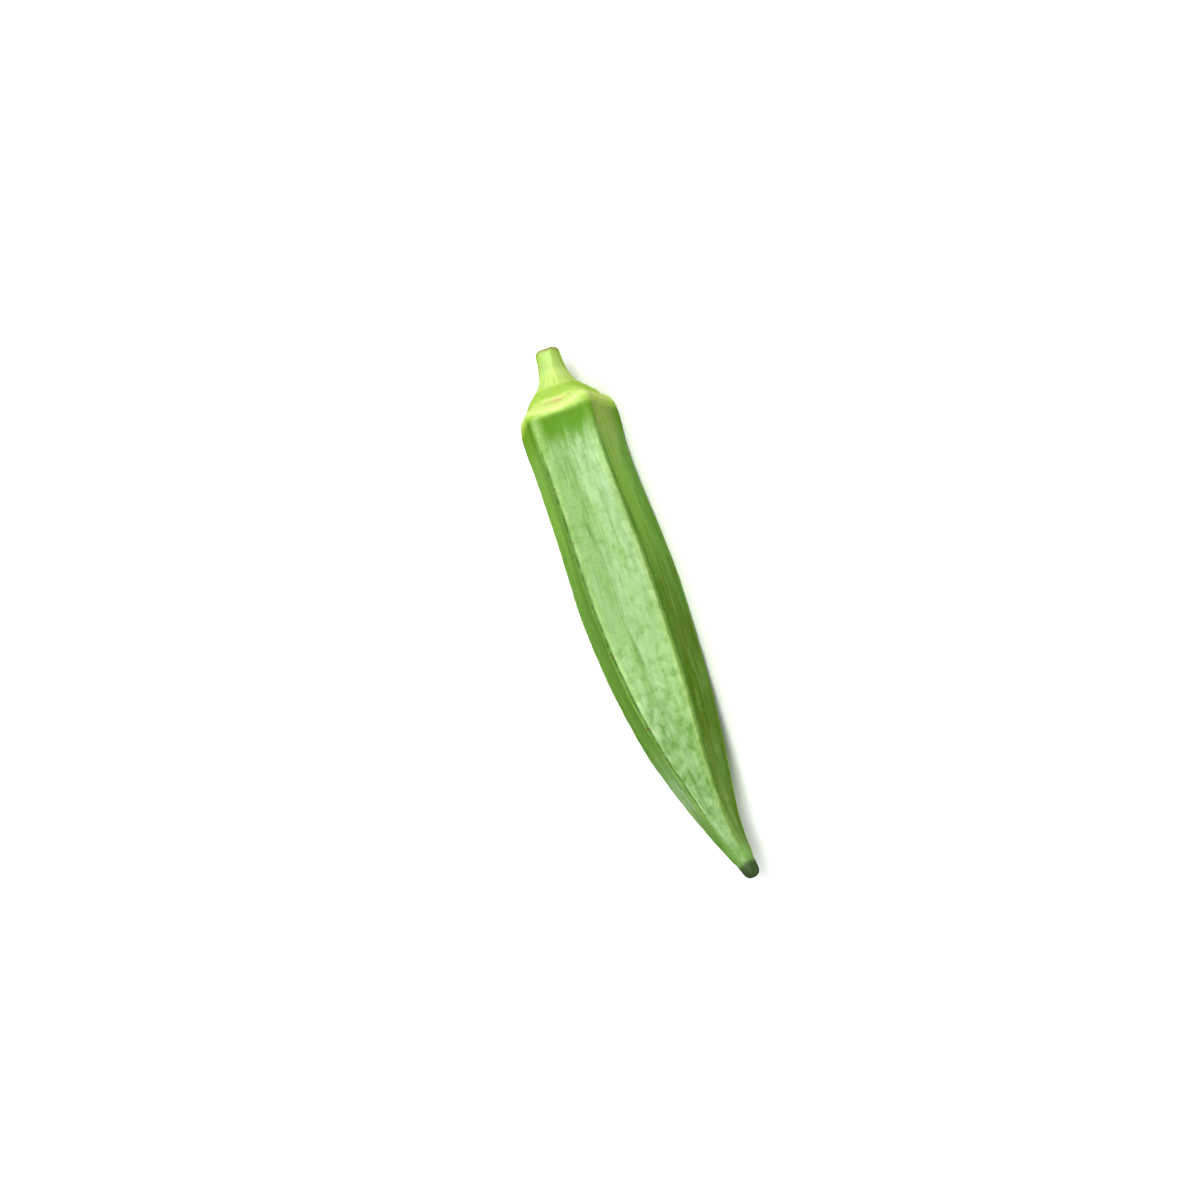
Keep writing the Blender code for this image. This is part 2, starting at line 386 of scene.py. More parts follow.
CUT_PATCH_NOISE, CUT_PATCH_RANGE = (500.0, 2.0), (0.55, 0.68, 0.0, 0.6)
CUT_CELL_SCALE, CUT_MATTNESS = 4200.0, 0.55
DOWN_NOISE, DOWN_RANGE, DOWN_MATTNESS = (300.0, 2.0), (0.35, 0.65), 0.4

# The down: where hairs may stand, how likely one is on a face, on a ridge and near the tip, how deep
# its foot is sunk, and the least and most of its length, lean and bend to a side
HAIR_TRIES = 6
HAIRY = (1 * MM, TIP_KNOB)
HAIR_ON_FACE, HAIR_ON_RIDGE, HAIR_NEAR_TIP = 0.12, 0.88, 0.4
HAIR_RIDGE_WIDTH, HAIR_TIP_STARTS = 0.8 * MM, mm(80, 92)
STEP_ALONG, STEP_ROUND = 0.1 * MM, 0.01
HAIR_ROOT = 0.03 * MM
HAIR_LENGTHS, HAIR_LEANS, HAIR_BENDS = (0.5, 1.0), (0.2, 0.9), (-0.4, 0.4)
HAIR_RINGS, HAIR_SIDES = 4, 3
HAIR_DROOP, HAIR_TAPER = 0.25, 0.8
HAIR_CLEARANCE = 0.05 * MM

FLOOR_DROP = 0.02 * MM
FLOOR_NOISE, FLOOR_RANGE = (3.0, 2.0), (0.3, 0.7, 0.0, 0.1)
FLOOR_TINT, FLOOR_MATTNESS = (0.9, 0.9, 0.9), 0.4
WHITE = (1.0, 1.0, 1.0, 1.0)
SENSOR_WIDTH_MM = 36.0
CAMERA_CLIPS = (0.01, 50.0)


def smooth_through(at, stops, values):
    """A cubic through (stops, values), each slope being that of the parabola through three stops."""
    stops, values = np.asarray(stops, float), np.asarray(values, float)
    step = np.diff(stops)
    rise = np.diff(values) / step
    slope = np.empty(len(stops))
    slope[1:-1] = (rise[:-1] * step[1:] + rise[1:] * step[:-1]) / (step[1:] + step[:-1])
    slope[0], slope[-1] = rise[0], rise[-1]
    left = np.clip(np.searchsorted(stops, at, side="right") - 1, 0, len(step) - 1)
    wide = step[left]
    t = np.clip((at - stops[left]) / wide, 0.0, 1.0)
    return (
        values[left] * (1 + 2 * t) * (1 - t) ** 2
        + wide * slope[left] * t * (1 - t) ** 2
        + values[left + 1] * t**2 * (3 - 2 * t)
        + wide * slope[left + 1] * t**2 * (t - 1)
    )


def ridge_radius_and_sharpness(along):
    stops, radii, sharpness = np.array(STATIONS_MM).T
    return smooth_through(along, stops * MM, radii * MM), smooth_through(along, stops * MM, sharpness)


def smooth_step(at, start, end):
    """0 before start, 1 after end, and a smooth cubic between them."""
    t = np.clip((at - start) / (end - start), 0.0, 1.0)
    return t * t * (3 - 2 * t)


def between(at, span):
    """A smooth step up over the first two values of the span, and down again over the last two."""
    return smooth_step(at, *span[:2]) * (1 - smooth_step(at, *span[2:]))


def hump(at, middle, width):
    """A bell: 1 at the middle and 0.37 one width away from it."""
    return np.exp(-(((at - middle) / width) ** 2))


def corner_angle(turn):
    """Angle from the nearest ridge, within half a face to either side."""
    return (turn + FACE_TURN / 2) % FACE_TURN - FACE_TURN / 2


def middle_angle(turn):
    """Angle from the middle of the face, within half a face to either side."""
    return corner_angle(turn + FACE_TURN / 2)


def top_angle(turn):
    """Angle from the top ridge, within half a turn to either side."""
    return (turn + np.pi) % (2 * np.pi) - np.pi


def middle_wave(turn):
    """1 in the middle of each face, falling as a cosine wave to 0 at its ridges."""
    return (1 + np.cos(RIDGES * middle_angle(turn))) / 2


def face_of(turn):
    """Which face an angle is on: face 0 lies between the top ridge and the next one."""
    return np.floor(turn % (2 * np.pi) / FACE_TURN).astype(int) % RIDGES


def facing(turn, power):
    """Sum over the five faces of how far each is faced, to that power."""
    normals = (np.arange(RIDGES) + 0.5) * FACE_TURN
    return sum(np.maximum(np.cos(turn - normal), 0.0) ** power for normal in normals)


def unit(vectors):
    return vectors / np.linalg.norm(vectors, axis=-1, keepdims=True)


def lattice_noise(along, turn, cells_along, cells_round, seed):
    """Smooth noise from -1 to 1: random heights on a lattice, joined by smooth steps.

    The lattice runs from the cut end to the tip and closes on itself round the pod.
    """
    heights = np.random.default_rng(seed).uniform(-1, 1, (cells_along + 2, cells_round))
    row = np.clip((along - CUT_END) / LENGTH, 0.0, 1.0) * cells_along
    column = (turn / (2 * np.pi)) % 1.0 * cells_round
    i, j = np.floor(row).astype(int), np.floor(column).astype(int) % cells_round
    s, t = row - i, column - np.floor(column)
    s, t = s * s * (3 - 2 * s), t * t * (3 - 2 * t)
    beside = (j + 1) % cells_round
    near = heights[i, j] * (1 - t) + heights[i, beside] * t
    far = heights[i + 1, j] * (1 - t) + heights[i + 1, beside] * t
    return near * (1 - s) + far * s


def space_noise(points, cell, seed):
    """Smooth noise from -1 to 1 in space: random heights on a cubic lattice, joined by smooth steps."""
    heights = np.random.default_rng(seed).uniform(-1, 1, SPACE_LATTICE)
    corner = np.floor(points / cell).astype(int)
    share = points / cell - corner
    share = share * share * (3 - 2 * share)
    total = 0.0
    for step in np.ndindex(2, 2, 2):
        weight = np.prod(np.where(step, share, 1 - share), axis=-1)
        i, j, k = np.moveaxis((corner + step) % heights.shape, -1, 0)
        total = total + weight * heights[i, j, k]
    return total


def two_noises(kind, where, cells):
    """A coarse noise and a finer one of that kind, added up by the share of the coarse one."""
    coarse, finer = (kind(*where, *each) for each in cells)
    return COARSE_SHARE * coarse + (1 - COARSE_SHARE) * finer


def solid_radius(along, turn):
    """Distance from the centre line to the skin of the solid.

    The five flat faces are joined by a power mean. To that come a rib on each ridge, a shallow hollow
    and a fine groove down the middle of each face, and the ring of the scar just above the rim.
    """
    ridge_radius, power = ridge_radius_and_sharpness(along)
    shape = (facing(turn, power) / facing(0.0, power)) ** (-1 / power)
    rib = RIB_HEIGHT * between(along, RIBBED) * hump(corner_angle(turn) * ridge_radius, 0.0, RIB_WIDTH)
    hollow = FACE_HOLLOW * between(along, FACED) * middle_wave(turn)
    off_middle = middle_angle(turn) * ridge_radius
    groove = MIDLINE_GROOVE * between(along, FACED) * hump(off_middle, 0.0, MIDLINE_WIDTH)
    scar = SCAR_DEPTH * hump(along, SCAR, SCAR_WIDTH)
    return ridge_radius * shape + rib - hollow - groove - scar


def crease_strength(along, turn):
    """How much of a crease is here, 0 to 1: a wandering line down each face that comes and goes."""
    face = face_of(turn)
    place = np.array(CREASE_PLACES)[face] * FACE_TURN
    wander = CREASE_WANDER * FACE_TURN * lattice_noise(along, face * FACE_TURN, *CREASE_WANDER_CELLS)
    comes = smooth_step(lattice_noise(along, turn, *CREASE_BREAK_CELLS), *CREASE_COMES)
    radius = ridge_radius_and_sharpness(along)[0]
    across = hump((middle_angle(turn) - place - wander) * radius, 0.0, CREASE_WIDTH)
    return np.array(CREASE_DEPTHS)[face] * comes * across * between(along, CREASED)


def wrinkled(points, along, turn):
    """How much of a wrinkle is here, 0 to 1: lines where a noise in space is near 0.

    A coarser noise leaves them in some patches only, and a finer one breaks them into short arcs,
    except on the front face. They end before the ridges.
    """
    lines = np.clip(1 - np.abs(space_noise(points, *WRINKLE_CELLS)) / WRINKLE_WIDTH, 0.0, 1.0)
    face = face_of(turn)
    breaks = smooth_step(space_noise(points, *WRINKLE_BREAK_CELLS), *WRINKLE_BREAKS)
    breaks = np.where(face == 0, 1.0, breaks)
    patches = smooth_step(space_noise(points, *WRINKLE_PATCH_CELLS), *WRINKLE_PATCHES)
    inside_face = 1 - smooth_step(np.abs(middle_angle(turn)), *WRINKLE_SIDES)
    strength = np.array(WRINKLE_STRENGTHS)[face] * inside_face
    return strength * lines * breaks * patches * between(along, WRINKLED)


def fine_relief(along, turn, settings):
    """Height in metres that the skin adds to the solid.

    It is the sum of the bead of the rim, long fine lines, soft swellings, blisters towards the beak,
    warts on the ridges, lengthwise lines on the stalk, what fills the scar and the grooves again and
    what makes the tip's end blunter. From it are taken the creases, the wrinkles, the dents below the
    rim, part of the ribs near the beak, the flats of the stalk, and the waist and thinning of the knob.
    """
    radius = ridge_radius_and_sharpness(along)[0]
    points = skin_points(along, turn)
    off_ridge = corner_angle(turn) * radius
    ribbed = between(along, RIBBED)
    bead = 1 + BEAD_UNEVENNESS * lattice_noise(along, turn, *BEAD_CELLS)
    bead = BEAD_HEIGHT * bead * hump(along, BEAD, BEAD_WIDTH)
    lines = settings.line_height * two_noises(lattice_noise, (along, turn), LINE_CELLS)
    swellings = settings.swelling_height * two_noises(space_noise, (points,), SWELLING_CELLS)
    blistered = BLISTERED_ELSEWHERE + (1 - BLISTERED_ELSEWHERE) * between(along, BLISTERED)
    blisters = settings.blister_height * blistered * two_noises(space_noise, (points,), BLISTER_CELLS)
    near_ridge = hump(off_ridge, 0.0, WART_WIDTH) * ribbed
    warts = WART_HEIGHT * near_ridge * lattice_noise(along, turn, *WART_CELLS)
    crease = settings.crease_depth * crease_strength(along, turn)
    wrinkles = settings.wrinkle_depth * wrinkled(points, along, turn)
    on_body = smooth_step(along, *FINE_STARTS) * (1 - smooth_step(along, *FINE_ENDS))
    fine = on_body * (lines + swellings + blisters + warts - crease - wrinkles)

    off_middle = np.abs(middle_angle(turn))
    dent = DENT_DEPTH * (1 - smooth_step(off_middle, *DENT_SIDES)) * between(along, DENTED)
    softening = RIB_SOFTENING * ribbed * hump(off_ridge, 0.0, RIB_WIDTH)
    softening = softening * smooth_step(along, *RIB_SOFTENED)
    grooves = MIDLINE_GROOVE * between(along, FACED) * hump(off_middle * radius, 0.0, MIDLINE_WIDTH)
    filling = GROOVE_FILLING * grooves + SCAR_FILLING * SCAR_DEPTH * hump(along, SCAR, SCAR_WIDTH)
    stalk_lines = STALK_LINE_HEIGHT * lattice_noise(along, turn, *STALK_LINE_CELLS)
    stalk = stalk_lines - STALK_FACET_DEPTH * middle_wave(turn)
    stalk = (1 - smooth_step(along, *STALK_ENDS)) * stalk
    waist = KNOB_WAIST_DEPTH * hump(along, KNOB_WAIST, KNOB_WAIST_WIDTH)
    knob = KNOB_THINNING * smooth_step(along, *KNOB_THINNED) + waist
    rounding = np.maximum(end_rounding(along), LEAST_ROUNDING)
    blunt = radius * (end_rounding(along, BLUNTNESS) / rounding - 1)
    return bead - dent + filling - softening + fine + stalk - knob + blunt


def end_rounding(along, power=2.0):
    """1 along the pod, falling to 0 at the end of the tip as a quarter of an ellipse.

    A power above 2 makes it a form between an ellipse and a box, which gives a blunter end.
    """
    t = np.clip((along - TIP_KNOB) / (TIP_END - TIP_KNOB), 0.0, 1.0)
    return (1 - t**power) ** (1 / power)


def centre_line(along):
    stops, bows = np.array(BOW_MM).T * MM
    bow = smooth_through(along, stops, bows)
    return np.stack([-along, -BOW_SIDEWAYS * bow, BOW_UPWARDS * bow], axis=-1)


def ring_frame(along, turn):
    """(centre, outward direction) of each skin point.

    The angle is 0 on the top ridge and grows towards -Y. A ring stands square to the centre line, and
    its crest waves towards the tip in the middle of each face near the rim. Towards the beak the face
    between the first two ridges narrows: both turn towards its middle.
    """
    wave = RIM_SCALLOP * middle_wave(turn) + RIM_DIP * between(top_angle(turn), RIM_DIPPED)
    shifted = along + wave * hump(along, 0.0, RIM_REACH)
    beaked = smooth_step(along, *BEAK_SPAN)
    off_front = turn - FACE_TURN / 2
    squeeze = np.sin(off_front) * (1 + np.cos(off_front)) / 2
    turned = turn + beaked * (BEAK_TWIST - BEAK_NARROWING * squeeze)
    centre = centre_line(shifted)
    tangent = unit(centre_line(shifted + HALF_CHORD) - centre_line(shifted - HALF_CHORD))
    up = unit(np.array([0.0, 0.0, 1.0]) - tangent * tangent[..., 2:3])
    side = np.cross(up, tangent)
    return centre, np.cos(turned)[..., None] * up + np.sin(turned)[..., None] * side


def skin_points(along, turn, height=0.0):
    """Points of the skin: centre line plus radius times outward direction, and a height on top."""
    centre, outward = ring_frame(along, turn)
    radius = (solid_radius(along, turn) + height) * end_rounding(along)
    return centre + radius[..., None] * outward


def pitched(points):
    cosine, sine = np.cos(PITCH), np.sin(PITCH)
    return points @ np.array([[cosine, 0, -sine], [0, 1, 0], [sine, 0, cosine]])


def ring_distances():
    spans = [np.linspace(start, end, steps, endpoint=False) for start, end, steps in RING_SPANS]
    return np.concatenate(spans + [[RING_SPANS[-1][1]]])


def column_angles():
    """Angles of the grid's columns, crowded towards the ridges: a share of a face less a sine wave."""
    share = np.arange(COLUMNS_A_FACE) / COLUMNS_A_FACE
    one_face = FACE_TURN * (share - COLUMN_CROWDING * np.sin(2 * np.pi * share) / (2 * np.pi))
    return np.concatenate([one_face + face * FACE_TURN for face in range(RIDGES)])


def resting_shift():
    """The move that puts the pitched skin where the solid is: box middles meet, and flats are at 0."""
    along, turn = np.meshgrid(ring_distances(), column_angles(), indexing="ij")
    points = pitched(skin_points(along, turn))
    lift = -points[..., 2].min() - FLAT_DEPTH
    low, high = points.min(axis=(0, 1)), points.max(axis=(0, 1))
    box_low, box_high = (np.array(corner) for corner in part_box(NODE))
    middle = (box_low + box_high) / 2 - (low + high) / 2
    return np.array([middle[0], middle[1], lift])


def laid_down(points, shift):
    """Pitches and moves points to their place at rest, and wears flats where the pod rests."""
    placed = pitched(points) + shift
    placed[..., 2] = np.maximum(placed[..., 2], 0.0)
    return placed


def grid_faces(rings, columns):
    """Triangles to the first pole, quads of a grid that closes on itself, triangles to the last pole.

    Point 0 is the pole before the first ring, then come the rings in order, and then the last pole.
    """
    ring, column = np.meshgrid(np.arange(rings - 1), np.arange(columns), indexing="ij")
    beside = (column + 1) % columns
    here, there = 1 + ring * columns, 1 + (ring + 1) * columns
    quads = np.stack([here + column, there + column, there + beside, here + beside], -1).reshape(-1, 4)
    one = np.arange(columns)
    next_one = (one + 1) % columns
    first = np.stack([np.zeros(columns, int), 1 + one, 1 + next_one], -1)
    last_ring, end = 1 + (rings - 1) * columns, 1 + rings * columns
    last = np.stack([np.full(columns, end), last_ring + next_one, last_ring + one], -1)
    return first.tolist() + quads.tolist() + last.tolist()


def new_mesh(name, points, faces):
    mesh = bpy.data.meshes.new(name)
    mesh.from_pydata(points.tolist(), [], faces)
    mesh.shade_smooth()
    return mesh


def new_object(name, data):
    thing = bpy.data.objects.new(name, data)
    bpy.context.scene.collection.objects.link(thing)
    return thing


def add_attribute(mesh, name, values):
    """Stores one number, or one vector, for each point of the mesh."""
    kind, key = ("FLOAT", "value") if values.ndim == 1 else ("FLOAT_VECTOR", "vector")
    attribute = mesh.attributes.new(name, kind, "POINT")
    attribute.data.foreach_set(key, np.ascontiguousarray(values, np.float32).ravel())


def show(name, mesh, materials):
    """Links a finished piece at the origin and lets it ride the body."""
    for material in materials:
        mesh.materials.append(material)
    piece = new_object(name, mesh)
    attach(piece, BODY)
    return piece


def put(tree, kind, inputs=None, **settings):
    """Adds a node, applies its settings, and gives each named input a constant or a link."""
    node = tree.nodes.new(kind)
    for key, setting in settings.items():
        setattr(node, key, setting)
    for name, source in (inputs or {}).items():
        if isinstance(source, bpy.types.NodeSocket):
            tree.links.new(source, node.inputs[name])
        else:
            node.inputs[name].default_value = source
    return node


def attribute_value(tree, name):
    return put(tree, "ShaderNodeAttribute", attribute_name=name).outputs["Fac"]


def object_place(tree):
    return put(tree, "ShaderNodeTexCoord").outputs["Object"]


def noise(tree, vector, scale, detail, rough=0.5):
    inputs = {"Vector": vector, "Scale": scale, "Detail": detail, "Roughness": rough}
    return put(tree, "ShaderNodeTexNoise", inputs).outputs[0]


def dots(tree, vector, scale):
    """Distance to the nearest of the scattered points."""
    return put(tree, "ShaderNodeTexVoronoi", {"Vector": vector, "Scale": scale}).outputs["Distance"]


def ranged(tree, value, low, high, to_low=0.0, to_high=1.0, interpolation="SMOOTHSTEP"):
    inputs = {"Value": value, "From Min": low, "From Max": high, "To Min": to_low, "To Max": to_high}
    return put(tree, "ShaderNodeMapRange", inputs, interpolation_type=interpolation).outputs[0]


def maths(tree, operation, first, *others):
    """The operation on the first two values, then on what comes out and the next one, and so on."""
    for other in others:
        first = put(tree, "ShaderNodeMath", {0: first, 1: other}, operation=operation).outputs[0]
    return first


def mixed(tree, factor, first, second):
    """One colour or link laid over another by a factor."""
    node = put(tree, "ShaderNodeMix", data_type="RGBA")
    for index, source in ((0, factor), (6, first), (7, second)):
        if isinstance(source, bpy.types.NodeSocket):
            tree.links.new(source, node.inputs[index])
        else:
            node.inputs[index].default_value = (*source, 1.0)
    return node.outputs[2]


def colour_of(settings, name):
    return getattr(settings, name + "_colour")


def ramp(tree, value, stops):
    """A colour ramp through (place, colour) stops."""
    node = put(tree, "ShaderNodeValToRGB", {"Fac": value})
    node.color_ramp.interpolation = "EASE"
    elements = node.color_ramp.elements
    while len(elements) < len(stops):
        elements.new(0.5)
    for element, (place, colour) in zip(elements, stops):
        element.position = place
        element.color = (*colour, 1.0)
    return node.outputs["Color"]


def add_bump(tree, shader, height, strength, distance):
    bump = put(tree, "ShaderNodeBump", {"Height": height, "Strength": strength, "Distance": distance})
    tree.links.new(bump.outputs[0], shader.inputs["Normal"])


def new_material(name):
    material = bpy.data.materials.new(name)
    material.use_nodes = True
    return material, material.node_tree, material.node_tree.nodes["Principled BSDF"]


def skin_material(settings):
    """The skin: colours along the pod, then lines, ridges, stripes, spots and specks over them.

    "straight" is the pod straightened, in millimetres: x and y from the angle on a circle, and z from
    the distance along. Patterns stretched in z run along the pod and draw together at its ends.
    """
    material, tree, shader = new_material("okra_skin_green")
    straight = put(tree, "ShaderNodeAttribute", attribute_name="straight").outputs["Vector"]
    along = put(tree, "ShaderNodeSeparateXYZ", {"Vector": straight}).outputs["Z"]
    place = object_place(tree)

    def of(name):
        return attribute_value(tree, name)

    def drawn_out(name):
        """The noise of that name, stretched along the pod."""
        squeeze, *rest = NOISES_ALONG[name]
        vector = put(tree, "ShaderNodeMapping", {"Vector": straight, "Scale": (1, 1, squeeze)}).outputs[0]
        return noise(tree, vector, *rest)

    def mask(name, value):
        return ranged(tree, value, *MASKS[name])

    def times(*values):
        return maths(tree, "MULTIPLY", *values)

    # The colours along the pod, whose edges near the rim are a little ragged
    ragged, tinge, lines, streaks = map(drawn_out, ("ragged", "tinge", "lines", "streaks"))
    shifted = maths(tree, "ADD", along, mask("ragged edge", ragged))
    share = ranged(tree, shifted, CUT_END / MM, TIP_END / MM, interpolation="LINEAR")
    stops = [((at - CUT_END / MM) / (LENGTH / MM), colour_of(settings, name)) for at, name in COLOURS_ALONG]
    colour = ramp(tree, share, stops)

    on_body = times(mask("body starts", along), mask("body ends", along))
    blotch = times(noise(tree, place, *BLOTCHES), mask("blotches grow", along))
    pores = mask("pores", noise(tree, place, *PORES))
    # The stripe down the faces is a painted reflection. The right part of the rim takes its colour as
    # painted shade, and the skin just below it as painted light
    stripe = times(of("stripe"), mask("stripe", drawn_out("stripe breaks")))
    stripe = maths(tree, "MAXIMUM", stripe, times(of("rim_shade_and_light"), mask("rim_shade_and_light", tinge)))
    shade = of("ridge_shade")
    spots = mask("spots", dots(tree, place, SPOT_SCALE))
    spots = times(spots, mask("spot patches", drawn_out("spot patches")))
    specks = mask("specks", dots(tree, place, SPECK_SCALE))
    layers = (
        ("scar", times(of("scar"), mask("scar", ragged))),
        # Long broad drifts of paler green, an olive tinge on some faces that is partly painted shade, then
        # short fine darker lines
        ("pale", times(mask("drifts", drawn_out("drift")), on_body)),
        ("olive_and_shade", times(of("olive_and_shade"), mask("olive_and_shade", tinge))),
        ("vein_and_crease_shade", times(mask("lines", lines), on_body, mask("lines fade", along))),
        ("vein_and_crease_shade", times(mask("blotches", blotch), on_body)),
        ("vein_and_crease_shade", times(pores, on_body)),
        ("pale", times(mask("stalk lines", drawn_out("stalk lines")), mask("stalk ends", along))),
        # Paler tops of the faces are painted light, strongest on the right face
        ("paled", times(of("paled"), mask("pale tops", lines))),
        # The pale tinge towards the tip is partly wax and partly painted sheen
        ("bloom_and_sheen", times(of("bloom_and_sheen"), mask("bloom_and_sheen", tinge))),
        # The creases and wrinkles are darkened with the colour of the fine lines: painted shade in them
        ("vein_and_crease_shade", mask("crease", of("crease"))),
        ("vein_and_crease_shade", mask("wrinkle", of("wrinkle"))),
        ("stripe", times(stripe, STRIPE_SHARE)),
        ("glint", times(of("ridge_glint"), mask("glint", drawn_out("glint breaks")))),
        ("ridge", times(of("ridge_line"), mask("crest", drawn_out("crest breaks")))),
        ("ridge_dark", times(shade, mask("shade", drawn_out("shade breaks")), SHADE_SHARE)),
        # Brown spots keep to the ridges, in patches, and pale specks are the feet of the down
        ("spot", times(spots, of("ridge_near"), SPOT_SHARE)),
        ("ridge", times(specks, on_body, SPECK_SHARE)),
    )
    for name, laid_on in layers:
        colour = mixed(tree, laid_on, colour, colour_of(settings, name))
    tree.links.new(colour, shader.inputs["Base Color"])

    # The skin has a bloom of wax that is thin below the rim and worn in blotches
    uneven = maths(tree, "ADD", along, mask("waxed edge", streaks))
    waxed = (mask("wax starts", uneven), of("corner_wax"), mask("wax at rim", along))
    waxed = times(maths(tree, "MAXIMUM", *waxed), of("wax"), mask("wax ends", along))
    streaked = times(mask("worn streaks", streaks), mask("streaks fade", along))
    worn = times(mask("worn blotches", blotch), mask("worn beside ridges", shade))
    worn = times(worn, maths(tree, "SUBTRACT", 1.0, streaked))
    facing_away = put(tree, "ShaderNodeLayerWeight", {"Blend": FACING_BLEND}).outputs["Facing"]
    gloss = times(mask("gloss", facing_away), times(waxed, worn))
    tree.links.new(gloss, shader.inputs["Specular IOR Level"])
    tree.links.new(mask("roughness", drawn_out("roughness")), shader.inputs["Roughness"])
    shader.inputs["IOR"].default_value = SKIN_IOR
    height = maths(tree, "ADD", drawn_out("fine"), noise(tree, place, *GRAIN))
    add_bump(tree, shader, height, *SKIN_BUMP)
    return material


def cut_material(settings):
    """The cut end: pale pith, a ring of darker bundles and a brown dried edge, by distance from its middle.
    """
    material, tree, shader = new_material("okra_cut_end")
    place = object_place(tree)
    ragged = ranged(tree, noise(tree, place, *CUT_EDGE_NOISE), *CUT_EDGE_RANGE)
    edge = maths(tree, "ADD", attribute_value(tree, "cut_share"), ragged)
    colour = ramp(tree, edge, [(at, colour_of(settings, name)) for at, name in COLOURS_OF_CUT])
    patches = ranged(tree, noise(tree, place, *CUT_PATCH_NOISE), *CUT_PATCH_RANGE)
    colour = mixed(tree, patches, colour, settings.cut_edge_colour)
    tree.links.new(colour, shader.inputs["Base Color"])
    shader.inputs["Roughness"].default_value = CUT_MATTNESS
    add_bump(tree, shader, dots(tree, place, CUT_CELL_SCALE), *CUT_BUMP)
    return material


def patched_material(name, colours, noise_settings, limits, mattness):
    """One colour with patches of another, where a noise in space is between the limits or over them."""
    material, tree, shader = new_material(name)
    tint = ranged(tree, noise(tree, object_place(tree), *noise_settings), *limits)
    tree.links.new(mixed(tree, tint, *colours), shader.inputs["Base Color"])
    shader.inputs["Roughness"].default_value = mattness
    return material


def cut_points(columns, settings):
    """The pole and the rings of the cut face, and each ring's share of the way out to the edge.

    The rings are the first ring of the pod drawn in to the middle. They are dished a little, as a
    parabola, and a noise makes them rougher towards the edge.
    """
    share = (np.arange(1, CUT_FACE_RINGS + 1) / CUT_FACE_RINGS)[:, None]
    edge_share = 1 - CUT_EDGE_ROUNDING / ridge_radius_and_sharpness(CUT_END)[0]
    middle = centre_line(np.array(CUT_END))
    along = np.full(len(columns), CUT_END)
    edge = skin_points(along, columns, fine_relief(along, columns, settings))
    rings = middle + (edge - middle) * (share * edge_share)[..., None]
    turn = np.broadcast_to(columns, rings.shape[:2])
    rough = lattice_noise(np.broadcast_to(CUT_END + share * LENGTH, turn.shape), turn, *CUT_CELLS)
    rings[..., 0] -= CUT_DISH * (1 - share**2) + CUT_ROUGHNESS * rough * share
    return middle - [CUT_DISH, 0, 0], rings, share


